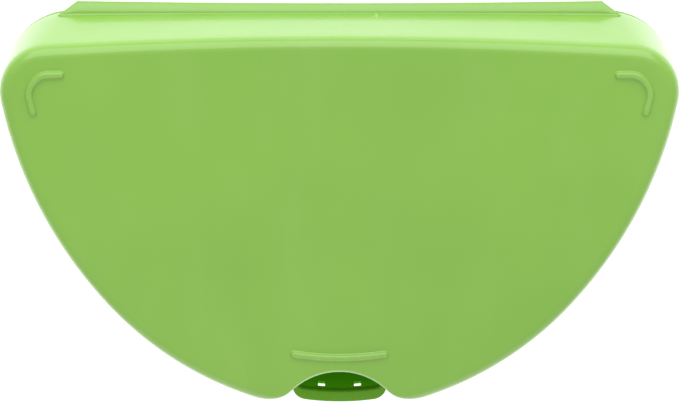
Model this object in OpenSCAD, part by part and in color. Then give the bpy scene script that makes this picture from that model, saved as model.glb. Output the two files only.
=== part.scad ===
// Covered play-sand box: a D-shaped tray with a pull lip at the front, and a deep lift-off cover.
// The straight side of the D is the back (+Y). The box rests on the ribs under the tray at z = 0.

/* [Plan of the cover's flat top] */
// Width of the flat top, measured at the back corners
face_w = 600; // [500:5:720]
// Radius of each long side
side_r = 388; // [340:2:430]
// How far round the long side runs before the front curve takes over, in degrees
side_turn = 40; // [34:1:44]
// Radius of the front curve
front_r = 300; // [280:5:330]
// Radius of the two back corners
corner_r = 42; // [32:1:50]
// How far the back edge bows out in the middle
back_bow = 8; // [2:0.5:12]

/* [Front lobes and hand scoop] */
// Distance from the middle to the centre of each rounded front lobe
lobe_x = 68; // [62:1:80]
// Radius of each lobe
lobe_r = 32; // [26:1:38]
// Depth of the scoop between the lobes at the top
scoop_top = 30.5; // [18:0.5:32]
// Depth of the scoop that is left at the rim
scoop_rim = 9.5; // [3:0.5:12]

/* [Cover] */
// Height of the cover from its rim to its flat top
cover_h = 75; // [62:1:90]
// How far the sides lean out between the top and the rim
side_draft = 12; // [8:0.5:16]
// How far the back wall leans out at its middle
back_draft = 10.5; // [7:0.5:14]
// Growth of the back corner radius between the top and the rim
corner_growth = 24; // [12:1:30]
// Radius of the rounded edge round the flat top
top_edge_r = 12; // [8:0.5:15]
// Thickness of every moulded wall
wall = 2.5; // [2:0.1:3]

/* [Back ledge] */
// Half width of the ledge at its outer edge
ledge_half_w = 236; // [190:1:240]
// How far the slanted ends run out past that at the wall
ledge_slant = 17; // [8:1:20]
// How far the ledge reaches out from the wall at its ends
ledge_reach = 10.5; // [7:0.5:14]
// How much less it reaches in the middle
ledge_dip = 2; // [0:0.5:3]
// Thickness of the ledge
ledge_t = 2.5; // [2:0.1:4]
// Height of its top above the rim
ledge_up = 8; // [7:0.5:12]

/* [Ribs on both shells] */
// Width of a rib
rib_w = 6; // [4:0.5:8]
// Height of a rib
rib_h = 3; // [2:0.5:4]
// Bend radius of a corner rib
rib_bend = 18.5; // [14:0.5:24]
// How far a corner rib stands in from the side of the flat top
rib_inset = 30; // [26:0.5:36]
// How far a corner rib stands in from the back of the flat top
rib_back_inset = 31.5; // [28:0.5:38]
// Length of a corner rib's straight arm along the back
rib_arm_back = 10.5; // [8:1:24]
// Length of a corner rib's straight arm along the side
rib_arm_side = 12; // [8:1:24]
// Angle by which the side arm turns in, in degrees
rib_turn_in = 11; // [4:1:20]
// Length of the front rib
front_rib_l = 85; // [60:1:110]
// Bend radius of the front rib
front_rib_r = 250; // [200:5:400]
// Gap between the front rib's middle and the scoop
front_rib_gap = 13.5; // [13:0.5:24]

/* [Tray] */
// Depth of the tray from its rim to its underside
tray_h = 52; // [42:1:64]
// Lean of the tray's walls, in degrees
tray_draft = 10; // [6:0.5:14]
// Radius of the edge between wall and floor
floor_edge_r = 10; // [6:0.5:14]
// Height of the rim bead that the cover stands on
bead_h = 8; // [6:0.5:12]
// Height of the spigot inside the cover's rim
spigot_h = 5; // [4:0.5:7]
// Sideways clearance between the spigot and the cover
spigot_fit = 0.8; // [0.5:0.1:1.2]
// Clearance under the cover's rim when it is closed
seat_gap = 0.3; // [0.2:0.1:0.6]

/* [Pull lip] */
// Half width of the pull lip
lip_half_w = 46; // [42:0.5:50]
// How far the lip stands out past the lobes' rim
lip_out = 24; // [20:0.5:28]
// Radius of the lip's two corners
lip_r = 14.5; // [9:0.5:16]
// Radius of the lip's bowed front edge
lip_bow_r = 230; // [180:5:400]
// Width of the lip's flat shelf at the front
lip_shelf = 11.5; // [8:0.5:13]
// Width of the shelf along the pocket's sides
lip_side = 1; // [0.5:0.1:3]
// Thickness of the shelf
lip_t = 3; // [2:0.1:4]
// Radius of the pocket's inner corners behind the shelf
pocket_r = 8; // [5:0.5:10]
// Radius of the fillet where the pocket meets the tray's wall
pocket_fillet = 4; // [2:0.5:5]

/* [Drain slots] */
// Width of each slot
slot_w = 7; // [5:0.5:10]
// Height of each slot
slot_h = 8; // [5:0.5:10]
// Distance between the two slots' middles
slot_pitch = 35.4; // [24:0.2:50]
// Distance from the shelf's top down to the slots
slot_drop = 8; // [7:0.5:10]

/* [Hidden] */

// Segments on each stretch of half the outline
back_n = 4;
corner_n = 8;
side_n = 8;
front_n = 8;
lobe_n = 8;
scoop_n = 8;
lip_n = 6;
edge_n = 5;
small_n = 4;
end_n = 12;

// Heights
tray_floor_z = rib_h;
seat_z = tray_floor_z + tray_h;
cover_rim_z = seat_z + seat_gap;
face_z = cover_rim_z + cover_h;

// The outline's own frame has y = 0 at the middle of the flat top's back edge.
side_x = face_w / 2 - side_r;
front_x = side_x + (side_r - front_r) * cos(side_turn);
front_y = -(side_r - front_r) * sin(side_turn);
lobe_y = front_y - sqrt(pow(front_r - lobe_r, 2) - pow(lobe_x - front_x, 2));
bow_curve = 8 * back_bow / pow(0.84 * face_w, 2);
flat_curve = bow_curve / 10;
rim_tip_y = lobe_y - lobe_r - side_draft;
lip_y = rim_tip_y - lip_out;
ledge_y = back_draft * (cover_h - ledge_up) / cover_h;

// The object's middle in y, from the lip's front to the ledge's back
mid_y = (lip_y + ledge_y + ledge_reach) / 2;

function mix(a, b, t) = a + (b - a) * t;
function at(c, r, a) = [c[0] + r * cos(a), c[1] + r * sin(a)];
function arc(c, r, a0, a1, n) = [for (i = [0:n - 1]) at(c, r, mix(a0, a1, i / n))];

// The outline changes from the flat top, u = 0, to the rim, u = 1, and grows outwards by d.
function back_radius(u) = 1 / mix(bow_curve, flat_curve, u);
function back_shift(u) = (back_draft - side_draft) * u;
function corner_radius(u) = corner_r + (corner_growth - side_draft) * u;
function corner_centre(u) =
    let (
        far = [0, back_shift(u) - back_radius(u)],
        r_side = side_r - corner_radius(u),
        r_back = back_radius(u) - corner_radius(u),
        gap = far - [side_x, 0],
        l = norm(gap),
        along = (r_side * r_side - r_back * r_back + l * l) / (2 * l),
        across = sqrt(r_side * r_side - along * along)
    )
    [side_x, 0] + gap * along / l + [-gap[1], gap[0]] * across / l;

// The right half of the outline from the middle of the back to the end of the lobe
function half_to_lobe(u, d) =
    let (
        grow = side_draft * u + d,
        far = [0, back_shift(u) - back_radius(u)],
        c = corner_centre(u),
        a_back = atan2(c[1] - far[1], c[0]),
        a_side = atan2(c[1], c[0] - side_x),
        a_front = atan2(lobe_y - front_y, lobe_x - front_x),
        a_lobe = -90 - atan2(lobe_x, scoop_reach(u))
    )
    concat(
        arc(far, back_radius(u) + grow, 90, a_back, back_n),
        arc(c, corner_radius(u) + grow, a_back, a_side, corner_n),
        arc([side_x, 0], side_r + grow, a_side, -side_turn, side_n),
        arc([front_x, front_y], front_r + grow, -side_turn, a_front, front_n),
        arc([lobe_x, lobe_y], lobe_r + grow, a_front, a_lobe, lobe_n)
    );

// The scoop is an arc that leaves both lobes smoothly and stands scoop_depth behind their tips.
function scoop_depth(u) = mix(scoop_top, scoop_rim, u);
function scoop_reach(u) = (lobe_x * lobe_x - pow(scoop_depth(u), 2)) / (2 * scoop_depth(u));
function scoop_radius(u, d) = norm([lobe_x, scoop_reach(u)]) - lobe_r - side_draft * u - d;
function scoop_y(u, d, x) =
    lobe_y - scoop_reach(u) + sqrt(pow(scoop_radius(u, d), 2) - x * x);
function half_scoop(u, d) =
    let (a0 = atan2(scoop_reach(u), lobe_x))
    arc([0, lobe_y - scoop_reach(u)], scoop_radius(u, d), a0, 90, scoop_n);

// The pocket of the pull lip: half width w, front at y, corner radius r, in the outline (u, d).
// Its bowed front runs round the same centre as the lip's own edge.
function half_pocket(u, d, w, y, r) =
    let (
        top = scoop_y(u, d, w + pocket_fillet),
        middle = lip_y + lip_bow_r,
        bow = middle - y,
        a_corner = -90 + asin((w - r) / (bow - r)),
        c = at([0, middle], bow - r, a_corner)
    )
    concat(
        arc([w + pocket_fillet, top - pocket_fillet], pocket_fillet, 90, 180, small_n),
        arc(c, r, 0, a_corner, corner_n),
        arc([0, middle], bow, a_corner, -90, lip_n)
    );

function mirrored(half) = [for (i = [len(half) - 1:-1:0]) [-half[i][0], half[i][1]]];

// A closed ring of 3D points: a half with no point on the middle line except its first
function level(half, z) =
    let (left = mirrored(half))
    [for (p = concat(half, [for (i = [0:len(left) - 2]) left[i]])) [p[0], p[1] - mid_y, z]];

// A solid skinned over a stack of rings with the same number of points, closed at both ends
// with a fan round a centre point
module skin(stack) {
    n = len(stack[0]);
    m = len(stack);
    hub_y = -face_w / 4 - mid_y;
    points = concat(
        [[0, hub_y, stack[0][0][2]]],
        [for (ring = stack) each ring],
        [[0, hub_y, stack[m - 1][0][2]]]
    );
    last = n * m + 1;
    faces = concat(
        [for (i = [0:n - 1]) [0, 1 + i, 1 + (i + 1) % n]],
        [for (k = [0:m - 2], i = [0:n - 1])
            [1 + k * n + i, 1 + (k + 1) * n + i, 1 + k * n + (i + 1) % n]],
        [for (k = [0:m - 2], i = [0:n - 1])
            [1 + (k + 1) * n + i, 1 + (k + 1) * n + (i + 1) % n, 1 + k * n + (i + 1) % n]],
        [for (i = [0:n - 1]) [last, last - n + (i + 1) % n, last - n + i]]
    );
    polyhedron(points = points, faces = faces, convexity = 6);
}

// ---- Cover ----

// One level of the cover, at depth t below the flat top and set in by inset
function cover_level(t, inset) =
    let (u = t / cover_h, half = half_to_lobe(u, -inset), scoop = half_scoop(u, -inset))
    level(concat(half, scoop, [[0, scoop_y(u, -inset, 0)]]), face_z - t);

// The rounded edge: how far a point at angle a round the edge lies below and inside the corner
lean = atan2(side_draft, cover_h);
function edge_drop(r, a) = r * (1 - cos(a));
function edge_inset(r, a) = r * tan((90 - lean) / 2) - r * sin(a) + edge_drop(r, a) * tan(lean);

function cover_edge(inset, z_down, r, steps) = [
    for (a = steps)
        cover_level(z_down + edge_drop(r, a), inset + edge_inset(r, a))
];

module cover_shell() {
    swing = 90 - lean;
    inner_r = top_edge_r - wall;
    outward = [for (i = [0:edge_n]) swing * i / edge_n];
    inward = [for (i = [edge_n:-1:0]) swing * i / edge_n];
    skin(concat(
        cover_edge(0, 0, top_edge_r, outward),
        [cover_level(cover_h, 0)],
        [cover_level(cover_h, wall)],
        cover_edge(wall, wall, inner_r, inward)
    ));
}

// The straight ledge across the back, with slanted ends and a slightly hollow outer edge
module back_ledge() {
    root_y = ledge_y - wall / 2;
    edge_y = ledge_y + ledge_reach;
    outer_n = 12;
    translate([0, -mid_y, cover_rim_z + ledge_up - ledge_t])
        linear_extrude(height = ledge_t)
            polygon(concat(
                [[ledge_half_w + ledge_slant, root_y], [-ledge_half_w - ledge_slant, root_y]],
                [for (i = [0:outer_n])
                    let (s = 2 * i / outer_n - 1)
                    [s * ledge_half_w, edge_y - ledge_dip * (1 - s * s)]]
            ));
}

// ---- Ribs, drawn standing up from z = 0 and sunk a little into what carries them ----

rib_sink = 1;

module rib(outline) {
    translate([0, 0, -rib_sink])
        linear_extrude(height = rib_h + rib_sink)
            polygon(outline);
}

module corner_rib() {
    half_w = rib_w / 2;
    c = [face_w / 2 - rib_inset - rib_bend, -rib_back_inset - rib_bend];
    a_end = -rib_turn_in;
    back_end = c + [-rib_arm_back, rib_bend];
    side_end = at(at(c, rib_bend, a_end), rib_arm_side, a_end - 90);
    rib(concat(
        arc(back_end, half_w, 270, 90, end_n), [at(back_end, half_w, 90)],
        arc(c, rib_bend + half_w, 90, a_end, corner_n), [at(c, rib_bend + half_w, a_end)],
        arc(side_end, half_w, a_end, a_end - 180, end_n), [at(side_end, half_w, a_end - 180)],
        arc(c, rib_bend - half_w, a_end, 90, corner_n), [at(c, rib_bend - half_w, 90)]
    ));
}

module front_rib() {
    half_w = rib_w / 2;
    c = [0, scoop_y(0, 0, 0) + front_rib_gap + front_rib_r];
    half_a = asin(front_rib_l / 2 / front_rib_r);
    a_left = -90 - half_a;
    a_right = -90 + half_a;
    rib(concat(
        arc(c, front_rib_r + half_w, a_left, a_right, front_n),
        arc(at(c, front_rib_r, a_right), half_w, a_right, a_right + 180, end_n),
        arc(c, front_rib_r - half_w, a_right, a_left, front_n),
        arc(at(c, front_rib_r, a_left), half_w, a_left + 180, a_left + 360, end_n)
    ));
}

module ribs() {
    translate([0, -mid_y, 0]) {
        corner_rib();
        mirror([1, 0, 0]) corner_rib();
        front_rib();
    }
}

// ---- Tray ----

// One level of the tray, drop below its rim and set in by inset, with the pocket's half width,
// front, corner radius and height given apart
function tray_ring(u, inset, z, w, y, r, pocket_z) =
    let (
        half = half_to_lobe(u, -inset),
        pocket = half_pocket(u, -inset, w, y, r),
        n = len(half),
        right = concat(
            [for (p = half) [p[0], p[1], z]],
            [for (i = [0:len(pocket) - 1])
                [pocket[i][0], pocket[i][1], i == 0 ? z : pocket_z]],
            [[0, y, pocket_z]]
        ),
        k = len(right)
    )
    concat(
        [for (p = right) [p[0], p[1] - mid_y, p[2]]],
        [for (i = [k - 2:-1:1]) [-right[i][0], right[i][1] - mid_y, right[i][2]]]
    );

// Inset of the tray's outer wall surface behind the cover's rim
tray_in = wall + spigot_fit;
tray_slope = tan(tray_draft);
pocket_w = lip_half_w - lip_side - wall;
pocket_y = lip_y + lip_shelf;

// The tray's wall at depth t under the rim: side = 0 for its outer face, wall for its inner face
function tray_wall(t, side, extra) =
    let (in = t * tray_slope + extra)
    tray_ring(
        1, tray_in + side + in, seat_z - t,
        pocket_w + wall - side - in, pocket_y - wall + side + in, pocket_r + wall - side, seat_z - t
    );

function floor_inset(r, a) =
    r * tan((90 - tray_draft) / 2) - r * sin(a) + edge_drop(r, a) * tray_slope;

function floor_edge(depth, side, r, steps) = [
    for (a = steps)
        tray_wall(depth - edge_drop(r, a), side, floor_inset(r, a))
];

module tray_shell() {
    swing = 90 - tray_draft;
    inner_r = floor_edge_r - wall;
    outward = [for (i = [0:edge_n]) swing * i / edge_n];
    inward = [for (i = [edge_n:-1:0]) swing * i / edge_n];
    shelf_z = seat_z - lip_t;
    bead_z = seat_z - bead_h;
    spigot_u = 1 - (spigot_h - seat_gap) / cover_h;
    spigot_z = seat_z + spigot_h;
    skin(concat(
        floor_edge(tray_h - wall, wall, inner_r, outward),
        [tray_ring(1, tray_in + wall, seat_z, pocket_w, pocket_y, pocket_r, seat_z)],
        [tray_ring(spigot_u, tray_in + wall, spigot_z, pocket_w, pocket_y, pocket_r, seat_z)],
        [tray_ring(spigot_u, tray_in, spigot_z, pocket_w, pocket_y, pocket_r, seat_z)],
        [tray_ring(1, tray_in, seat_z, pocket_w, pocket_y, pocket_r, seat_z)],
        [tray_ring(1, 0, seat_z, lip_half_w, lip_y, lip_r, seat_z)],
        [tray_ring(1, 0, bead_z, lip_half_w, lip_y, lip_r, shelf_z)],
        [tray_ring(1, tray_in, bead_z, pocket_w + wall, pocket_y - wall, pocket_r + wall, shelf_z)],
        floor_edge(tray_h, 0, floor_edge_r, inward)
    ));
}

module drain_slots() {
    depth = lip_shelf + 2 * wall;
    for (side = [-1, 1])
        translate([side * slot_pitch / 2 - slot_w / 2, lip_y - mid_y, seat_z - slot_drop - slot_h])
            cube([slot_w, depth + slot_h, slot_h]);
}

// ---- Named pieces ----

module cover() {
    color([0.50, 0.77, 0.30]) {
        cover_shell();
        back_ledge();
        translate([0, 0, face_z]) ribs();
    }
}

module tray() {
    color([0.42, 0.68, 0.24]) {
        difference() {
            tray_shell();
            drain_slots();
        }
        translate([0, 0, tray_floor_z]) mirror([0, 0, 1]) ribs();
    }
}

tray();
cover();
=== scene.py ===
import math

import bmesh
import bpy
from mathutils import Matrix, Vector


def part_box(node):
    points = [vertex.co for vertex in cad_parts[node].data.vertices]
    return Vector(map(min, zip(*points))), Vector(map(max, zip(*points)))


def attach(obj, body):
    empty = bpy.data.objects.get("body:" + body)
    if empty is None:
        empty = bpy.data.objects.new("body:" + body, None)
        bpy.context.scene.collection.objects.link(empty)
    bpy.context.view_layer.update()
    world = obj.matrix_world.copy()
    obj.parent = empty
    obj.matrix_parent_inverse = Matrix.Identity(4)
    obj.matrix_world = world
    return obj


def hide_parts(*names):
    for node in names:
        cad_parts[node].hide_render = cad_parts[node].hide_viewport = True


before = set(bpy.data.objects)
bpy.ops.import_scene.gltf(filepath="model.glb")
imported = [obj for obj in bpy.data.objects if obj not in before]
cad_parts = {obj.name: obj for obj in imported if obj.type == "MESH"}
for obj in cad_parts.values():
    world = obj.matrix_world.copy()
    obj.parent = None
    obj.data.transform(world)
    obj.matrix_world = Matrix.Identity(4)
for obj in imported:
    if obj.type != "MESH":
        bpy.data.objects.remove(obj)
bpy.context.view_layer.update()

bl_info = {
    "name": "Covered play-sand box",
    "version": (1, 0, 0),
    "blender": (4, 5, 0),
    "location": "View3D > Sidebar > Sand Box",
    "description": "Builds a D-shaped play-sand tray, its lift-off cover and a plain studio",
    "category": "Add Mesh",
}

MM = 0.001
TRAY_LOW, TRAY_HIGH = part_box("tray")
COVER_LOW, COVER_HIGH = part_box("cover")


def length(name, text, default):
    """A size in metres that the panel shows."""
    return bpy.props.FloatProperty(
        name=name, description=text, default=default, unit="LENGTH", min=0.0, precision=5)


def degrees(name, text, default):
    """An angle that the panel shows in degrees."""
    return bpy.props.FloatProperty(
        name=name, description=text, default=math.radians(default), subtype="ANGLE")


def share(name, text, default):
    """A plain number between 0 and 1."""
    return bpy.props.FloatProperty(
        name=name, description=text, default=default, min=0.0, max=1.0, subtype="FACTOR")


def colour(name, text, default):
    """A colour in linear light."""
    return bpy.props.FloatVectorProperty(
        name=name, description=text, default=default, size=3, subtype="COLOR", min=0.0, max=1.0)


class PlanSizes(bpy.types.PropertyGroup):
    """The D-shaped outline that both shells share."""
    face_width: length("Face width", "Width of the flat top", 599.8 * MM)
    side_radius: length("Side radius", "Radius of each long side", 388 * MM)
    side_turn: degrees("Side turn", "How far round the long side runs", 40)
    front_radius: length("Front radius", "Radius of the front curve", 300 * MM)
    corner_radius: length("Corner radius", "Radius of the back corners on the top", 42 * MM)
    corner_growth: length("Corner growth", "Growth of that radius down to the rim", 24 * MM)
    back_bow: length("Back bow", "How far the back edge bows out", 8 * MM)
    lobe_x: length("Lobe place", "Middle of the box to a front lobe's centre", 68 * MM)
    lobe_radius: length("Lobe radius", "Radius of each front lobe", 32 * MM)
    scoop_top: length("Scoop at top", "Depth of the scoop at the top", 30.5 * MM)
    scoop_rim: length("Scoop at rim", "Depth of the scoop at the rim", 9.5 * MM)
    side_draft: length("Side draft", "Lean of the sides from top to rim", 12 * MM)
    back_draft: length("Back draft", "Lean of the back wall's middle", 10.5 * MM)
    wall: length("Wall", "Thickness of the moulded walls", 2.5 * MM)


class CoverSizes(bpy.types.PropertyGroup):
    """What only the cover has."""
    edge_radius: length("Top edge", "Radius of the rounded edge round the top", 12 * MM)
    scoop_edge: length("Scoop edge", "Radius of the edge along the hand scoop", 2.8 * MM)
    rim_round: length("Rim round", "Rounding of the rim's two edges", 0.9 * MM)
    ledge_half_width: length("Ledge half width", "Half width at the outer edge", 236 * MM)
    ledge_slant: length("Ledge slant", "How far its ends run out at the wall", 17 * MM)
    ledge_reach: length("Ledge reach", "How far it stands out at its ends", 10.5 * MM)
    ledge_dip: length("Ledge dip", "How much less it stands out in the middle", 2 * MM)
    ledge_thickness: length("Ledge thickness", "Thickness of the ledge", 2.5 * MM)
    ledge_fall: length("Ledge fall", "How far its top falls away outwards", 4.0 * MM)
    ledge_up: length("Ledge height", "Height of its top above the rim", 8 * MM)
    cove_middle: length("Cove, middle", "Fillet between ledge and wall, middle", 1.2 * MM)
    cove_ends: length("Cove, ends", "Fillet between ledge and wall, ends", 1.8 * MM)
    nib_x: length("Nib place", "Middle of the box to the moulding nib", 33 * MM)
    nib_radius: length("Nib radius", "Half width of the moulding nib at the ledge", 4.2 * MM)
    nib_height: length("Nib height", "Height of the moulding nib up the wall", 14 * MM)
    grip_round: length("Grip edge", "Radius of the rolled edge along the scoop", 0.75 * MM)
    grip_drop: length("Grip edge drop", "How far below the top it lies", 3.6 * MM)


class RibSizes(bpy.types.PropertyGroup):
    """The three raised ribs that each shell has."""
    width: length("Width", "Width of a rib", 6 * MM)
    height: length("Height", "Height of a rib", 3 * MM)
    bend: length("Bend", "Bend radius of a corner rib", 18.5 * MM)
    inset: length("Inset", "Distance of a corner rib from the top's side", 30 * MM)
    back_inset: length("Back inset", "Distance of a corner rib from the top's back", 31.5 * MM)
    back_arm: length("Back arm", "Straight arm along the back", 9.5 * MM)
    side_arm: length("Side arm", "Straight arm along the side", 11.5 * MM)
    turn_in: degrees("Turn in", "Angle by which the side arm turns in", 11)
    front_length: length("Front length", "Length of the front rib", 83 * MM)
    front_radius: length("Front radius", "Bend radius of the front rib", 250 * MM)
    front_gap: length("Front gap", "Gap between the front rib and the scoop", 13.5 * MM)


class TraySizes(bpy.types.PropertyGroup):
    """What only the tray has."""
    draft: degrees("Draft", "Lean of the tray's walls", 10)
    floor_radius: length("Floor edge", "Radius between wall and floor", 10 * MM)
    bead: length("Bead height", "Height of the rim bead", 8 * MM)
    spigot: length("Spigot height", "Height of the spigot inside the cover", 5 * MM)
    spigot_fit: length("Spigot clearance", "Sideways clearance to the cover", 0.8 * MM)
    lip_half_width: length("Lip half width", "Half width of the pull lip", 46 * MM)
    lip_radius: length("Lip radius", "Radius of the lip's corners", 14.5 * MM)
    lip_bow: length("Lip bow", "Radius of the lip's bowed front edge", 230 * MM)
    lip_shelf: length("Lip shelf", "Width of the shelf at the front", 11.5 * MM)
    lip_side: length("Lip side", "Width of the shelf at the pocket's sides", 1 * MM)
    lip_thickness: length("Lip thickness", "Thickness of the shelf", 3 * MM)
    lip_hem: length("Lip hem", "Height of the shelf's turned-down edge", 6.5 * MM)
    pocket_radius: length("Pocket radius", "Radius of the pocket's inner corners", 8 * MM)
    pocket_fillet: length("Pocket fillet", "Fillet between pocket and tray wall", 4 * MM)
    slot_width: length("Slot width", "Width of a drain slot", 7 * MM)
    slot_height: length("Slot height", "Height of a drain slot", 8 * MM)
    slot_pitch: length("Slot pitch", "Distance between the slots", 35.4 * MM)
    slot_drop: length("Slot drop", "Shelf's top down to the slots", 8 * MM)


class PlasticLook(bpy.types.PropertyGroup):
    """Colours and finish of the green moulded plastic."""
    green: colour("Green", "Main colour of the cover", (0.216, 0.462, 0.043))
    deep_green: colour("Deep green", "Slightly deeper colour that clouds it", (0.200, 0.436, 0.039))
    # Painted shade: the tray's green is the cover's plastic darkened so that its lip and pocket
    # look shaded by the cover; it colours the whole tray.
    tray_shaded_green: colour("Tray shaded green", "Main colour of the tray", (0.140, 0.390, 0.012))
    # Also painted as a faint highlight on the rib tops, besides the real bloom of streaks and
    # scuffs.
    chalk_and_highlight: colour("Chalk", "Pale bloom of rubbed and stressed plastic", (0.62, 0.80, 0.42))
    # Painted highlight: the scoop's rolled edge is coloured this pale green to stand in for the
    # bright line that light draws along it.
    grip_highlight_green: colour("Grip highlight green", "Paler green of the scoop's rolled edge", (0.62, 0.92, 0.36))
    roughness: share("Roughness", "Roughness of the moulded skin", 0.34)
    # Painted light: emission that makes the deep inside of the tray's pocket glow green, standing
    # in for light that reaches it.
    painted_pocket_glow: colour("Painted pocket glow", "Glow painted into the pocket", (0.010, 0.085, 0.0))
    coat: share("Surface sheen", "Strength of the glossy skin on top", 0.9)


class StageLook(bpy.types.PropertyGroup):
    """Floor, lights and camera."""
    floor: colour("Floor", "Colour of the floor", (0.92, 0.92, 0.92))
    floor_glow: share("Floor glow", "Light that the lit table gives from below", 0.55)
    tilt: degrees("Camera tilt", "Lean of the view from straight down, towards the back", 18)
    distance: length("Camera distance", "Camera to the aim point on the top", 1400 * MM)
    aim: length("Aim", "Aim point's distance in front of the back edge", 147 * MM)
    frame_width: length("Frame width", "Width that the view takes in at that distance", 603.6 * MM)


GROUPS = {
    "sandbox_plan": PlanSizes,
    "sandbox_cover": CoverSizes,
    "sandbox_ribs": RibSizes,
    "sandbox_tray": TraySizes,
    "sandbox_plastic": PlasticLook,
    "sandbox_stage": StageLook,
}


# ---- Outline of the box ----


def mix(a, b, t):
    return a + (b - a) * t


def smooth(t):
    """0 to 1 with a level start and end."""
    t = min(max(t, 0.0), 1.0)
    return t * t * t * (t * (6 * t - 15) + 10)


def arc(centre, radius, start, stop, steps):
    """Points on an arc, its last point left out."""
    turn = [mix(start, stop, i / steps) for i in range(steps)]
    return [(centre[0] + radius * math.cos(a), centre[1] + radius * math.sin(a)) for a in turn]


class Outline:
    """The D-shaped plan: u runs from the flat top, 0, to the rim, 1, and grow widens it.
    Its own y = 0 lies at the middle of the flat top's back edge."""

    BACK, CORNER, SIDE, FRONT, LOBE, SCOOP = 40, 22, 34, 34, 26, 26

    def __init__(self, plan, cover, ribs, tray):
        self.p, self.c, self.r, self.t = plan, cover, ribs, tray
        self.rim_z = COVER_LOW.z
        self.face_z = COVER_HIGH.z - ribs.height
        self.seat_z = TRAY_HIGH.z - tray.spigot
        self.height = self.face_z - self.rim_z
        self.lean = math.atan2(plan.side_draft, self.height)
        self.ledge_wall = plan.back_draft * (1 - cover.ledge_up / self.height)
        self.back_y = COVER_HIGH.y - self.ledge_wall - cover.ledge_reach
        self.side_x = plan.face_width / 2 - plan.side_radius
        step = plan.side_radius - plan.front_radius
        self.front_x = self.side_x + step * math.cos(plan.side_turn)
        self.front_y = -step * math.sin(plan.side_turn)
        reach = plan.front_radius - plan.lobe_radius
        self.lobe_y = self.front_y - math.sqrt(reach ** 2 - (plan.lobe_x - self.front_x) ** 2)
        self.tightest = 8 * plan.back_bow / (0.84 * plan.face_width) ** 2
        self.lip_y = TRAY_LOW.y - self.back_y

    def back_radius(self, u):
        return 1 / mix(self.tightest, self.tightest / 10, u)

    def back_centre(self, u):
        return (self.p.back_draft - self.p.side_draft) * u - self.back_radius(u)

    def corner(self, u):
        """Centre and radius of the back corner, which meets the back and the side smoothly."""
        radius = self.p.corner_radius + (self.p.corner_growth - self.p.side_draft) * u
        to_side = self.p.side_radius - radius
        to_back = self.back_radius(u) - radius
        gap = Vector((-self.side_x, self.back_centre(u)))
        along = (to_side ** 2 - to_back ** 2 + gap.length_squared) / (2 * gap.length)
        across = math.sqrt(to_side ** 2 - along ** 2)
        way = gap.normalized()
        centre = Vector((self.side_x, 0)) + way * along + Vector((-way.y, way.x)) * across
        return centre, radius

    def scoop(self, u, grow):
        """Distance of the scoop's centre in front of the lobes' centres, and its radius."""
        depth = mix(self.p.scoop_top, self.p.scoop_rim, u)
        reach = (self.p.lobe_x ** 2 - depth ** 2) / (2 * depth)
        out = self.p.lobe_radius + self.p.side_draft * u + grow
        return reach, math.hypot(self.p.lobe_x, reach) - out

    def scoop_y(self, u, grow, x):
        reach, radius = self.scoop(u, grow)
        return self.lobe_y - reach + math.sqrt(radius ** 2 - x ** 2)

    def half(self, u, grow):
        """The right half, from the middle of the back to where the lobe meets the scoop."""
        more = self.p.side_draft * u + grow
        back = (0, self.back_centre(u))
        centre, radius = self.corner(u)
        at_back = math.atan2(centre.y - back[1], centre.x)
        at_side = math.atan2(centre.y, centre.x - self.side_x)
        at_front = math.atan2(self.lobe_y - self.front_y, self.p.lobe_x - self.front_x)
        at_scoop = -math.pi / 2 - math.atan2(self.p.lobe_x, self.scoop(u, grow)[0])
        turn = -self.p.side_turn
        front = (self.front_x, self.front_y)
        lobe = (self.p.lobe_x, self.lobe_y)
        return (
            arc(back, self.back_radius(u) + more, math.pi / 2, at_back, self.BACK)
            + arc(centre, radius + more, at_back, at_side, self.CORNER)
            + arc((self.side_x, 0), self.p.side_radius + more, at_side, turn, self.SIDE)
            + arc(front, self.p.front_radius + more, turn, at_front, self.FRONT)
            + arc(lobe, self.p.lobe_radius + more, at_front, at_scoop, self.LOBE)
        )

    def ring(self, right):
        """A closed ring of 3D points from its right half, whose ends lie on the middle line."""
        left = [(-x, y, z) for x, y, z in reversed(right[1:-1])]
        return [Vector((x, y + self.back_y, z)) for x, y, z in right + left]

    def half_cover(self, depth, inset):
        """The right half of the cover's outline, depth below its flat top."""
        u = depth / self.height
        reach, radius = self.scoop(u, -inset)
        start = math.atan2(reach, self.p.lobe_x)
        centre = (0, self.lobe_y - reach)
        flat = self.half(u, -inset) + arc(centre, radius, start, math.pi / 2, self.SCOOP)
        return flat + [(0, centre[1] + radius)]

    def edge_radii(self):
        """Radius of the top edge at each point of the right half: smaller along the scoop."""
        before = self.BACK + self.CORNER + self.SIDE + self.FRONT
        radii = [self.c.edge_radius] * before
        for i in range(self.LOBE):
            share_in = smooth(i / self.LOBE)
            radii.append(mix(self.c.edge_radius, self.c.scoop_edge, share_in))
        return radii + [self.c.scoop_edge] * (self.SCOOP + 1)

    def cover_ring(self, places):
        """One ring of the cover; places holds depth and inset for each point of a half."""
        known, right = {}, []
        for i, (depth, inset) in enumerate(places):
            if (depth, inset) not in known:
                known[depth, inset] = self.half_cover(depth, inset)
            x, y = known[depth, inset][i]
            right.append((x, y, self.face_z - depth))
        return self.ring(right)

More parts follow.
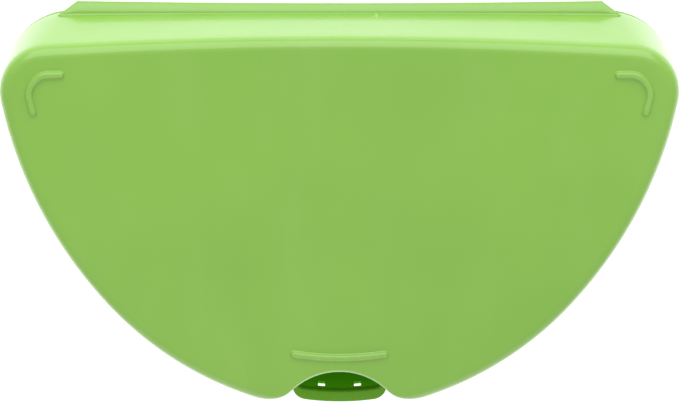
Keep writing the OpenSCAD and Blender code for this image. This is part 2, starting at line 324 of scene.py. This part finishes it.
    def tray_ring(self, u, inset, z, pocket):
        """One level of the tray; the pocket's half width, front, corner radius and height
        are given apart, and the height eases from one to the other through the fillet."""
        w, y, r, pocket_z = pocket
        fillet, steps = self.t.pocket_fillet, 8
        top = self.scoop_y(u, -inset, w + fillet)
        right = [(px, py, z) for px, py in self.half(u, -inset)]
        bend = arc((w + fillet, top - fillet), fillet, math.pi / 2, math.pi, steps)
        for i, (px, py) in enumerate(bend):
            right.append((px, py, mix(z, pocket_z, smooth(i / (steps - 1)))))
        middle = self.lip_y + self.t.lip_bow
        bow = middle - y
        stop = math.asin((w - r) / (bow - r)) - math.pi / 2
        centre = ((bow - r) * math.cos(stop), middle + (bow - r) * math.sin(stop))
        front = arc(centre, r, 0, stop, 14) + arc((0, middle), bow, stop, -math.pi / 2, 12)
        right += [(px, py, pocket_z) for px, py in front + [(0, y)]]
        return self.ring(right)


# ---- Mesh work ----


def carry(bm, verts, points):
    """Extrudes the closed loop through verts and puts the new loop on points."""
    edges = [bm.edges.get((verts[i - 1], verts[i])) for i in range(len(verts))]
    made = bmesh.ops.extrude_edge_only(bm, edges=edges)["geom"]
    fresh = {g for g in made if isinstance(g, bmesh.types.BMVert)}
    moved = []
    for old, point in zip(verts, points):
        twin = next(e.other_vert(old) for e in old.link_edges if e.other_vert(old) in fresh)
        twin.co = point
        moved.append(twin)
    return moved


def loft(bm, rings):
    """A closed skin over rings of equal length, capped at both ends."""
    first = [bm.verts.new(p) for p in rings[0]]
    for i in range(len(first)):
        bm.edges.new((first[i - 1], first[i]))
    last = first
    for points in rings[1:]:
        last = carry(bm, last, points)
    for loop in (first, last):
        rim = [bm.edges.get((loop[i - 1], loop[i])) for i in range(len(loop))]
        bmesh.ops.contextual_create(bm, geom=rim)


SHARP_ANGLE = math.radians(40)


def piece(name, bm, body, material):
    """Turns a bmesh into a named piece that rides on a body."""
    bmesh.ops.recalc_face_normals(bm, faces=bm.faces)
    for face in bm.faces:
        face.smooth = True
    mesh = bpy.data.meshes.new(name)
    bm.to_mesh(mesh)
    bm.free()
    mesh.set_sharp_from_angle(angle=SHARP_ANGLE)
    made = bpy.data.objects.new(name, mesh)
    bpy.context.scene.collection.objects.link(made)
    mesh.materials.append(material)
    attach(made, body)
    return made


def keep_cut(made, cutter):
    """Cuts the cutter out of a piece for good and removes the cutter."""
    cut = made.modifiers.new("cut", "BOOLEAN")
    cut.operation, cut.solver, cut.object = "DIFFERENCE", "EXACT", cutter
    depsgraph = bpy.context.evaluated_depsgraph_get()
    mesh = bpy.data.meshes.new_from_object(made.evaluated_get(depsgraph))
    mesh.name = made.name
    made.modifiers.clear()
    old, made.data = made.data, mesh
    bpy.data.meshes.remove(old)
    bpy.data.objects.remove(cutter)


def rounding(radius, lean, steps):
    """Drop and inset along a rounded edge, from level to a wall that leans by lean."""
    swing = math.pi / 2 - lean
    path = []
    for i in range(steps + 1):
        a = swing * i / steps
        drop = radius * (1 - math.cos(a))
        inset = radius * (math.tan(swing / 2) - math.sin(a)) + drop * math.tan(lean)
        path.append((drop, inset))
    return path


def quarter(steps):
    """Sine and versine pairs round a quarter turn."""
    turn = [math.pi / 2 * i / steps for i in range(steps + 1)]
    return [(math.sin(a), 1 - math.cos(a)) for a in turn]


FLAT_BORDER = 3 * MM


def cover_path(o, edge):
    """Depth and inset from the middle of the outside, round the rim, to the inside, where
    the top edge has that radius."""
    wall, rim = o.p.wall, o.c.rim_round
    outer = rounding(edge, o.lean, 12)
    inner = rounding(max(edge - wall, 0.4 * MM), o.lean, 8)
    border = rounding(o.c.edge_radius, o.lean, 12)[0][1] + FLAT_BORDER
    path = [(0, border)] + outer
    last = outer[-1][0]
    path += [(mix(last, o.height - rim, i / 9), 0) for i in range(1, 10)]
    path += [(o.height - rim * (1 - s), rim * v) for s, v in quarter(4)[1:]]
    path += [(o.height - rim * v, wall - rim * (1 - s)) for s, v in quarter(4)]
    start = wall + inner[-1][0]
    path += [(mix(o.height - rim, start, i / 7), wall) for i in range(1, 7)]
    path += [(wall + drop, wall + inset) for drop, inset in reversed(inner)]
    return path + [(wall, wall + border)]


def cover_rings(o):
    """The cover's skin as a stack of rings."""
    paths = {}
    for edge in o.edge_radii():
        if edge not in paths:
            paths[edge] = cover_path(o, edge)
    columns = [paths[edge] for edge in o.edge_radii()]
    return [o.cover_ring([column[k] for column in columns]) for k in range(len(columns[0]))]


def tray_rings(o):
    """The tray's skin, from the middle of the inside floor, over the rim, to the outside."""
    t, wall = o.t, o.p.wall
    deep = o.seat_z - o.r.height
    slope = math.tan(t.draft)
    tray_in = wall + t.spigot_fit
    pocket_w = t.lip_half_width - t.lip_side - wall
    pocket_y = o.lip_y + t.lip_shelf
    shelf_z = o.seat_z - t.lip_thickness
    hem_z = o.seat_z - t.lip_hem
    soft = 0.8 * MM

    def level(depth, side, extra=0.0):
        into = depth * slope + extra
        pocket = (
            pocket_w + wall - side - into, pocket_y - wall + side + into,
            t.pocket_radius + wall - side, o.seat_z - depth)
        return o.tray_ring(1, tray_in + side + into, o.seat_z - depth, pocket)

    def rim(u, inset, z, w, y, r, pocket_z):
        return o.tray_ring(u, inset, z, (w, y, r, pocket_z))

    inner = rounding(t.floor_radius - wall, t.draft, 7)
    outer = rounding(t.floor_radius, t.draft, 9)
    rings = [level(deep - wall, wall, inner[0][1] + FLAT_BORDER)]
    rings += [level(deep - wall - drop, wall, inset) for drop, inset in inner]
    start = deep - wall - inner[-1][0]
    rings += [level(mix(start, 2 * soft, i / 6), wall) for i in range(1, 7)]

    # Over the spigot on the tray's wall, and over the shelf's inner edge at the pocket
    top_u = 1 - t.spigot / o.height
    top_z = o.seat_z + t.spigot
    for s, v in quarter(4):
        rings.append(rim(
            mix(1, top_u, s), tray_in + wall - soft * v, mix(o.seat_z, top_z, s) - soft * (1 - s),
            pocket_w + 2 * soft * v, pocket_y - 2 * soft * v, t.pocket_radius,
            o.seat_z - 2 * soft * (1 - s)))
    for s, v in quarter(4):
        rings.append(rim(
            top_u, tray_in + soft * (1 - s), top_z - soft * v,
            pocket_w + 2 * soft * (1 + 0.1 * s), pocket_y - 2 * soft * (1 + 0.1 * s),
            t.pocket_radius, o.seat_z))
    rings.append(rim(
        1, tray_in, o.seat_z, pocket_w + 2.4 * soft, pocket_y - 2.4 * soft,
        t.pocket_radius, o.seat_z))

    # Out over the bead and the lip's shelf, down its edge and back under it
    side_w = mix(pocket_w + wall, t.lip_half_width, 0.3)
    hem_in = 2.2 * MM
    for s, v in quarter(4):
        rings.append(rim(
            1, soft * (1 - s), o.seat_z - soft * v,
            t.lip_half_width - soft * (1 - s), o.lip_y + 2 * soft * (1 - s),
            t.lip_radius - 2 * soft * (1 - s), o.seat_z - 2 * soft * v))
    for s, v in quarter(3):
        rings.append(rim(
            1, soft * v, mix(o.seat_z - t.bead, o.seat_z - t.bead + soft, 1 - s),
            t.lip_half_width - 0.3 * soft * v, o.lip_y + soft * v,
            t.lip_radius - soft * v, mix(hem_z + soft, hem_z, s)))
    under = o.seat_z - t.bead
    rings.append(rim(
        1, 0.45 * tray_in, under, side_w, o.lip_y + hem_in, t.lip_radius - hem_in, hem_z))
    rings.append(rim(
        1, 0.6 * tray_in, under, side_w, o.lip_y + hem_in * 1.2,
        t.lip_radius - hem_in * 1.2, shelf_z))
    out_w = pocket_w + wall
    corner = t.pocket_radius + wall
    fillet = 1.5 * MM
    for s, v in quarter(4):
        rings.append(rim(
            1, tray_in - fillet * (1 - s), under - fillet * v,
            out_w + 0.2 * fillet * (1 - s), pocket_y - wall - fillet * (1 - s),
            corner, shelf_z - fillet * v))
    stop = deep - outer[-1][0]
    first = t.bead + fillet
    rings += [level(mix(first, stop, i / 7), 0) for i in range(1, 8)]
    rings += [level(deep - drop, 0, inset) for drop, inset in reversed(outer)]
    rings.append(level(deep, 0, outer[0][1] + FLAT_BORDER))
    return rings


RIB_SHOULDER = 1.5 * MM
RIB_FLARE = 1.3 * MM
RIB_CROWN = 0.25 * MM
RIB_SINK = 1.2 * MM
RIB_SLACK = 0.02 * MM


def rib_height(ribs, distance):
    """Height of a rib's surface at a distance from its middle line."""
    inside, outside = ribs.width / 2 - RIB_SHOULDER, ribs.width / 2 + RIB_FLARE
    crown = RIB_CROWN * min(distance / inside, 1) ** 2
    fall = smooth((distance - inside) / (outside - inside))
    return (ribs.height - crown) * (1 - fall)


def rib_rings(ribs, path, z, up):
    """Cross-sections of a round-ended rib along path, standing on z towards up."""
    outside = ribs.width / 2 + RIB_FLARE
    spread = [math.sin(math.pi / 2 * (i / 11 - 1)) for i in range(23)]
    ends = [math.sin(math.pi / 2 * i / 9) * 0.985 * outside for i in range(9, 0, -1)]
    first, last = path[0], path[-1]
    way_in = (path[1] - first).normalized()
    way_out = (last - path[-2]).normalized()
    stations = [(first - way_in * g, way_in, g) for g in ends]
    for i, point in enumerate(path):
        before, after = path[max(i - 1, 0)], path[min(i + 1, len(path) - 1)]
        stations.append((point, (after - before).normalized(), 0.0))
    stations += [(last + way_out * g, way_out, g) for g in reversed(ends)]
    rings = []
    for point, way, g in stations:
        side = Vector((-way.y, way.x))
        half = math.sqrt(outside ** 2 - g ** 2)
        over = []
        for s in spread:
            spot = point + side * (half * s)
            over.append((spot, rib_height(ribs, math.hypot(half * s, g)) - RIB_SLACK))
        under = [(point + side * (half * s), -RIB_SINK) for s in (spread[-1], 0, spread[0])]
        rings.append([Vector((p.x, p.y, z + up * h)) for p, h in over + under])
    return rings


def corner_rib_path(o, side):
    r = o.r
    centre = Vector((o.p.face_width / 2 - r.inset - r.bend, -r.back_inset - r.bend))
    stop = -r.turn_in
    bend = [Vector(p) for p in arc(centre, r.bend, math.pi / 2, stop, 22)]
    knee = centre + Vector((math.cos(stop), math.sin(stop))) * r.bend
    down = Vector((math.sin(stop), -math.cos(stop)))
    path = [bend[0] + Vector((-r.back_arm * (1 - i / 6), 0)) for i in range(6)] + bend
    path += [knee + down * (r.side_arm * i / 7) for i in range(8)]
    return [Vector((side * p.x, p.y + o.back_y)) for p in path]


def front_rib_path(o):
    r = o.r
    centre = Vector((0, o.scoop_y(0, 0, 0) + r.front_gap + r.front_radius + o.back_y))
    half = math.asin(r.front_length / 2 / r.front_radius)
    turn = [-math.pi / 2 + half * (i / 20 - 1) for i in range(41)]
    return [centre + Vector((math.cos(a), math.sin(a))) * r.front_radius for a in turn]


def rib_mesh(o, z, up):
    bm = bmesh.new()
    for path in (corner_rib_path(o, 1), corner_rib_path(o, -1), front_rib_path(o)):
        loft(bm, rib_rings(o.r, path, z, up))
    return bm


def ledge_rings(o):
    """Sections of the back ledge from one slanted end to the other, with its cove."""
    c, wall = o.c, o.p.wall
    top = o.rim_z + c.ledge_up
    under = top - c.ledge_thickness
    half, full = c.ledge_half_width, c.ledge_half_width + c.ledge_slant
    steps = 16
    ends = [full - c.ledge_slant * (1 - math.cos(math.pi / 2 * i / steps)) ** 0.9
            for i in range(steps)]
    middle = [half * (1 - i / 30) for i in range(61)]
    stations = ends + middle + [-x for x in reversed(ends)]
    lean = o.p.back_draft / o.height
    rings = []
    for x in stations:
        share_in = min(max((full - abs(x)) / c.ledge_slant, 0.0), 1.0)
        s = min(abs(x) / half, 1.0)
        outer = o.back_y + o.ledge_wall + c.ledge_reach - c.ledge_dip * (1 - s * s)
        u = 1 - c.ledge_up / o.height
        face = math.sqrt(o.back_radius(u) ** 2 - x * x) - o.back_radius(u) + o.ledge_wall
        face += o.back_y
        reach = max((outer - face) * share_in, 0.05 * MM)
        cove = min(mix(c.cove_middle, c.cove_ends, s ** 3), 0.8 * reach)
        edge = min(1.1 * MM, reach * 0.4)
        section = [(face - 0.6 * wall - cove * lean, top + cove)]
        for sine, verse in quarter(8):
            rise = cove * (1 - sine)
            section.append((face + cove * verse - rise * lean + 0.02 * MM, top + rise))
        out = face + reach
        fall = c.ledge_fall * share_in
        flat_out = out - edge
        for i in range(1, 7):
            way = i / 7
            section.append((mix(face + cove, flat_out, way), top - fall * way ** 1.5))
        for sine, verse in quarter(4):
            section.append((flat_out + edge * sine, top - fall - edge * verse))
        for sine, verse in quarter(4)[1:]:
            section.append((out - edge * verse, under - fall + edge * (1 - sine)))
        section.append((face - 0.6 * wall, under - fall * 0.3))
        rings.append([Vector((x, y, z)) for y, z in section])
    return rings


def grip_rings(o):
    """The rolled edge along the scoop, fading out at both lobes."""
    c = o.c
    u = c.grip_drop / o.height
    edge = rounding(c.scoop_edge, o.lean, 200)
    inset = min(edge, key=lambda place: abs(place[0] - c.grip_drop))[1]
    reach, radius = o.scoop(u, -inset)
    start = math.atan2(reach, o.p.lobe_x)
    z = o.face_z - c.grip_drop
    rings = []
    steps = 60
    for i in range(steps + 1):
        a = mix(start * 0.995, math.pi - start * 0.995, i / steps)
        ease = smooth(min(i, steps - i) / 5)
        r = c.grip_round * mix(0.25, 1.0, ease)
        way = Vector((math.cos(a), math.sin(a)))
        centre = Vector((0, o.lobe_y - reach + o.back_y)) + way * (radius + r * 0.35)
        ring = []
        for k in range(12):
            b = 2 * math.pi * k / 12
            spot = centre + way * (-r * math.cos(b))
            ring.append(Vector((spot.x, spot.y, z + r * math.sin(b))))
        rings.append(ring)
    return rings


def slot_cutter(o):
    """Two boxes with softened edges where the drain slots go through the pocket's wall."""
    t = o.t
    bm = bmesh.new()
    for side in (-1, 1):
        made = bmesh.ops.create_cube(bm, size=1.0)["verts"]
        size = Vector((t.slot_width, 24 * MM, t.slot_height))
        front = o.lip_y + o.back_y + t.lip_shelf
        middle = o.seat_z - t.slot_drop - t.slot_height / 2
        bmesh.ops.scale(bm, vec=size, verts=made)
        bmesh.ops.translate(bm, vec=(side * t.slot_pitch / 2, front, middle), verts=made)
    upright = [e for e in bm.edges if abs((e.verts[0].co - e.verts[1].co).normalized().y) > 0.9]
    bmesh.ops.bevel(
        bm, geom=upright, offset=0.9 * MM, segments=3, profile=0.5, affect="EDGES", material=-1)
    bmesh.ops.recalc_face_normals(bm, faces=bm.faces)
    mesh = bpy.data.meshes.new("slot_cutter")
    bm.to_mesh(mesh)
    bm.free()
    cutter = bpy.data.objects.new("slot_cutter", mesh)
    bpy.context.scene.collection.objects.link(cutter)
    return cutter


# ---- Materials ----


class Wire:
    """A shader value that takes part in Python arithmetic."""

    def __init__(self, recipe, socket):
        self.recipe, self.socket = recipe, socket

    def maths(self, operation, *values):
        return self.recipe.node("ShaderNodeMath", {"operation": operation}, *values)[0]

    def __add__(self, other):
        return self.maths("ADD", self, other)

    def __radd__(self, other):
        return self.maths("ADD", other, self)

    def __sub__(self, other):
        return self.maths("SUBTRACT", self, other)

    def __rsub__(self, other):
        return self.maths("SUBTRACT", other, self)

    def __mul__(self, other):
        return self.maths("MULTIPLY", self, other)

    def ramp(self, low, high):
        """0 below low, 1 above high, with a smooth rise between."""
        node = {"interpolation_type": "SMOOTHSTEP"}
        return self.recipe.node("ShaderNodeMapRange", node, self, low, high, 0.0, 1.0)[0]


class Recipe:
    """A material and its node tree, filled by plain calls."""

    def __init__(self, name):
        self.material = bpy.data.materials.new(name)
        self.material.use_nodes = True
        self.tree = self.material.node_tree
        self.shader = next(n for n in self.tree.nodes if n.type == "BSDF_PRINCIPLED")
        self.place = self.node("ShaderNodeTexCoord", {})[3]

    def feed(self, socket, value):
        if isinstance(value, Wire):
            self.tree.links.new(value.socket, socket)
        elif value is not None:
            socket.default_value = value

    def node(self, kind, settings, *values, **named):
        made = self.tree.nodes.new(kind)
        for key, setting in settings.items():
            setattr(made, key, setting)
        for socket, value in zip(made.inputs, values):
            self.feed(socket, value)
        for key, value in named.items():
            self.feed(made.inputs[key.replace("_", " ")], value)
        return [Wire(self, s) for s in made.outputs]

    def noise(self, scale, detail=2.0, stretch=(1, 1, 1)):
        """Noise in object space; scale is in waves per metre."""
        where = self.node("ShaderNodeMapping", {}, self.place, Scale=stretch)[0]
        return self.node(
            "ShaderNodeTexNoise", {}, Vector=where, Scale=scale, Detail=detail, Roughness=0.55)[0]

    def blend(self, factor, a, b):
        """Colour a turning into colour b."""
        node = self.tree.nodes.new("ShaderNodeMix")
        node.data_type = "RGBA"
        self.feed(node.inputs[0], factor)
        for socket, value in ((node.inputs[6], a), (node.inputs[7], b)):
            self.feed(socket, value if isinstance(value, Wire) else (*value, 1.0))
        return Wire(self, node.outputs[2])


def moulded_plastic(name, look, main, deep, top_z, rubbed, sheen, pocket_z=0.0):
    """Satin green plastic: soft clouds of colour, fine moulded grain, faint scuffs and bloom, a
    faint painted highlight on raised tops, and a painted glow in the tray's pocket.
    """
    m = Recipe(name)
    x, y, z = m.node("ShaderNodeSeparateXYZ", {}, m.place)[:3]
    clouds = m.noise(4.5, 3.0)
    flow = m.noise(16.0, 4.0, (1, 0.35, 1))
    grain = m.noise(900.0, 3.0)
    peel = m.noise(160.0, 2.0)
    scuffs = m.noise(75.0, 5.0, (0.12, 1.9, 1)).ramp(0.66, 0.74)
    nicks = m.noise(75.0, 5.0, (2.1, 0.14, 1)).ramp(0.67, 0.75)
    patches = m.noise(7.0, 3.0).ramp(0.5, 0.72)
    marks = (scuffs + nicks) * patches

    tone = m.blend(clouds.ramp(0.32, 0.68), main, deep)
    tone = m.blend(flow.ramp(0.45, 0.8) * 0.035, tone, look.chalk_and_highlight)
    # Rib tops a touch paler: the even part is a faint painted highlight, the noise patches scaled
    # by rubbed are wear.
    if top_z:
        raised = z.ramp(top_z + 1.9 * MM, top_z + 2.9 * MM)
        tone = m.blend(raised * (0.03 + m.noise(120.0, 4.0).ramp(0.4, 0.7) * rubbed),
                       tone, look.chalk_and_highlight)
    tone = m.blend(marks * 0.09, tone, look.chalk_and_highlight)

    m.feed(m.shader.inputs["Base Color"], tone)
    rough = look.roughness + clouds * 0.08 + marks * 0.16 + (grain - 0.5) * 0.06
    m.feed(m.shader.inputs["Roughness"], rough)
    height = grain * 0.00002 + peel * 0.00005 - marks * 0.00003
    bump = m.node("ShaderNodeBump", {}, Strength=0.55, Distance=1.0, Height=height)[0]
    m.feed(m.shader.inputs["Normal"], bump)
    m.shader.inputs["IOR"].default_value = 1.5
    m.shader.inputs["Specular IOR Level"].default_value = 0.25 + 0.25 * sheen
    m.shader.inputs["Coat Weight"].default_value = sheen
    m.shader.inputs["Coat Roughness"].default_value = 0.16
    # Painted light: the pocket's inside, below the shelf and towards the front, glows with emission
    # as if lit.
    if pocket_z:
        painted_pocket_glow = (pocket_z - z).ramp(0.5 * MM, 5 * MM) * (-130 * MM - y).ramp(0.0, 25 * MM)
        m.feed(m.shader.inputs["Emission Color"], m.blend(painted_pocket_glow, (0, 0, 0), look.painted_pocket_glow))
        m.shader.inputs["Emission Strength"].default_value = 1.0
    return m.material


def material(name):
    """The finished plastic of that name, made once."""
    known = bpy.data.materials.get(name)
    if known:
        return known
    look, o = bpy.context.scene.sandbox_plastic, the_outline()
    if name == "cover_green":
        return moulded_plastic(name, look, look.green, look.deep_green, o.face_z, 0.06, look.coat)
    # The rolled edge's pale plastic is a painted highlight.
    if name == "grip_highlight_plastic":
        pale = look.grip_highlight_green
        return moulded_plastic(name, look, pale, look.green, 0.0, 0.0, look.coat)
    # The tray's darker green is painted shade on the same plastic as the cover.
    main = look.tray_shaded_green
    deep = [0.92 * v for v in main]
    shelf_z = o.seat_z - o.t.lip_thickness
    return moulded_plastic(name, look, main, deep, 0.0, 0.0, 0.0, shelf_z)


def the_outline():
    s = bpy.context.scene
    return Outline(s.sandbox_plan, s.sandbox_cover, s.sandbox_ribs, s.sandbox_tray)


# ---- Operators ----


class SANDBOX_OT_cover(bpy.types.Operator):
    """Builds the cover's shell in place of the plain one"""
    bl_idname = "sandbox.cover"
    bl_label = "Cover"

    def execute(self, context):
        bm = bmesh.new()
        loft(bm, cover_rings(the_outline()))
        made = piece("cover_shell", bm, "cover", material("cover_green"))
        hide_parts("cover")
        return {"FINISHED"}


class SANDBOX_OT_cover_ribs(bpy.types.Operator):
    """Builds the three raised ribs on the cover"""
    bl_idname = "sandbox.cover_ribs"
    bl_label = "Cover ribs"

    def execute(self, context):
        o = the_outline()
        bm = rib_mesh(o, o.face_z, 1)
        piece("cover_ribs", bm, "cover", material("cover_green"))
        return {"FINISHED"}


class SANDBOX_OT_back_ledge(bpy.types.Operator):
    """Builds the straight ledge along the cover's back, with its cove"""
    bl_idname = "sandbox.back_ledge"
    bl_label = "Back ledge"

    def execute(self, context):
        bm = bmesh.new()
        loft(bm, ledge_rings(the_outline()))
        piece("cover_back_ledge", bm, "cover", material("cover_green"))
        return {"FINISHED"}


class SANDBOX_OT_nib(bpy.types.Operator):
    """Builds the small pointed moulding nib that stands on the back ledge against the wall"""
    bl_idname = "sandbox.nib"
    bl_label = "Moulding nib"

    def execute(self, context):
        o = the_outline()
        c = o.c
        bm = bmesh.new()
        made = bmesh.ops.create_cone(
            bm, cap_ends=True, segments=28, radius1=c.nib_radius, radius2=0.4 * MM,
            depth=c.nib_height)["verts"]
        bmesh.ops.scale(bm, vec=(1, 0.45, 1), verts=made)
        lean = o.p.back_draft / o.height
        foot = o.rim_z + c.ledge_up - 0.3 * MM
        for vert in made:
            vert.co.y -= vert.co.z * lean
        up = c.nib_height / 2
        wall_y = o.back_y + o.ledge_wall - up * lean - 0.5 * MM
        bmesh.ops.translate(bm, vec=(c.nib_x, wall_y, foot + up), verts=made)
        piece("cover_nib", bm, "cover", material("cover_green"))
        return {"FINISHED"}


class SANDBOX_OT_grip_edge(bpy.types.Operator):
    """Builds the rolled edge along the hand scoop"""
    bl_idname = "sandbox.grip_edge"
    bl_label = "Grip edge"

    def execute(self, context):
        bm = bmesh.new()
        loft(bm, grip_rings(the_outline()))
        piece("cover_grip_edge", bm, "cover", material("grip_highlight_plastic"))
        return {"FINISHED"}


class SANDBOX_OT_tray(bpy.types.Operator):
    """Builds the tray's shell with its pull lip and drain slots"""
    bl_idname = "sandbox.tray"
    bl_label = "Tray"

    def execute(self, context):
        o = the_outline()
        bm = bmesh.new()
        loft(bm, tray_rings(o))
        made = piece("tray_shell", bm, "tray", material("tray_shaded_green"))
        keep_cut(made, slot_cutter(o))
        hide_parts("tray")
        return {"FINISHED"}


class SANDBOX_OT_tray_ribs(bpy.types.Operator):
    """Builds the three ribs that the tray stands on"""
    bl_idname = "sandbox.tray_ribs"
    bl_label = "Tray ribs"

    def execute(self, context):
        o = the_outline()
        bm = rib_mesh(o, o.r.height, -1)
        piece("tray_ribs", bm, "tray", material("tray_shaded_green"))
        return {"FINISHED"}


def soft_light(name, place, aim, size, power, glint=1.0):
    """A rectangular soft light at place, turned to aim."""
    light = bpy.data.lights.new(name, "AREA")
    light.shape, light.size, light.size_y = "RECTANGLE", size[0], size[1]
    light.energy, light.specular_factor = power, glint
    holder = bpy.data.objects.new(name, light)
    holder.location = place
    way = Vector(aim) - Vector(place)
    holder.rotation_euler = way.to_track_quat("-Z", "Y").to_euler()
    holder.visible_camera = False
    bpy.context.scene.collection.objects.link(holder)


class SANDBOX_OT_stage(bpy.types.Operator):
    """Builds the pale floor, the soft lights and the camera"""
    bl_idname = "sandbox.stage"
    bl_label = "Stage"

    def execute(self, context):
        scene, look, o = context.scene, context.scene.sandbox_stage, the_outline()
        bm = bmesh.new()
        bmesh.ops.create_grid(bm, x_segments=1, y_segments=1, size=6.0)
        mesh = bpy.data.meshes.new("floor")
        bm.to_mesh(mesh)
        bm.free()
        floor = bpy.data.objects.new("floor", mesh)
        scene.collection.objects.link(floor)
        paper = Recipe("pale_floor")
        paper.shader.inputs["Base Color"].default_value = (*look.floor, 1.0)
        paper.shader.inputs["Roughness"].default_value = 0.7
        paper.shader.inputs["Emission Color"].default_value = (1, 1, 1, 1)
        paper.shader.inputs["Emission Strength"].default_value = look.floor_glow
        mesh.materials.append(paper.material)

        world = bpy.data.worlds.new("studio")
        scene.world = world
        world.use_nodes = True
        sky = world.node_tree.nodes["Background"]
        sky.inputs["Color"].default_value = (1, 1, 1, 1)
        sky.inputs["Strength"].default_value = 0.72
        soft_light("key", (0, 1.5, 1.2), (0, 0, 0.1), (3.2, 1.8), 31, 0.6)
        soft_light("fill", (0, -1.5, 0.6), (0, 0, 0.05), (2.4, 1.0), 4)
        scene.view_settings.view_transform = "Standard"

        eye = bpy.data.cameras.new("camera")
        eye.sensor_width = 36.0
        eye.lens = eye.sensor_width * look.distance / look.frame_width
        camera = bpy.data.objects.new("camera", eye)
        aim = Vector((0, o.back_y - look.aim, o.face_z))
        away = Vector((0, math.sin(look.tilt), math.cos(look.tilt)))
        camera.location = aim + away * look.distance
        camera.rotation_euler = (-look.tilt, 0, 0)
        scene.collection.objects.link(camera)
        scene.camera = camera
        return {"FINISHED"}


class SANDBOX_PT_panel(bpy.types.Panel):
    """Lists the sizes and the pieces of the sand box"""
    bl_idname = "SANDBOX_PT_panel"
    bl_label = "Covered play-sand box"
    bl_space_type = "VIEW_3D"
    bl_region_type = "UI"
    bl_category = "Sand Box"

    def draw(self, context):
        for group, kind in GROUPS.items():
            box = self.layout.box()
            for key in kind.__annotations__:
                box.prop(getattr(context.scene, group), key)
        for step in STEPS:
            self.layout.operator(step.bl_idname)


STEPS = (
    SANDBOX_OT_stage,
    SANDBOX_OT_cover,
    SANDBOX_OT_cover_ribs,
    SANDBOX_OT_back_ledge,
    SANDBOX_OT_nib,
    SANDBOX_OT_grip_edge,
    SANDBOX_OT_tray,
    SANDBOX_OT_tray_ribs,
)
CLASSES = (*GROUPS.values(), *STEPS, SANDBOX_PT_panel)


def register():
    for made in CLASSES:
        bpy.utils.register_class(made)
    for name, group in GROUPS.items():
        setattr(bpy.types.Scene, name, bpy.props.PointerProperty(type=group))


def unregister():
    for name in GROUPS:
        delattr(bpy.types.Scene, name)
    for made in reversed(CLASSES):
        bpy.utils.unregister_class(made)


def main():
    register()
    bpy.ops.sandbox.stage()
    bpy.ops.sandbox.cover()
    bpy.ops.sandbox.cover_ribs()
    bpy.ops.sandbox.back_ledge()
    bpy.ops.sandbox.nib()
    bpy.ops.sandbox.grip_edge()
    bpy.ops.sandbox.tray()
    bpy.ops.sandbox.tray_ribs()
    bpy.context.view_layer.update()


if __name__ == "__main__":
    main()
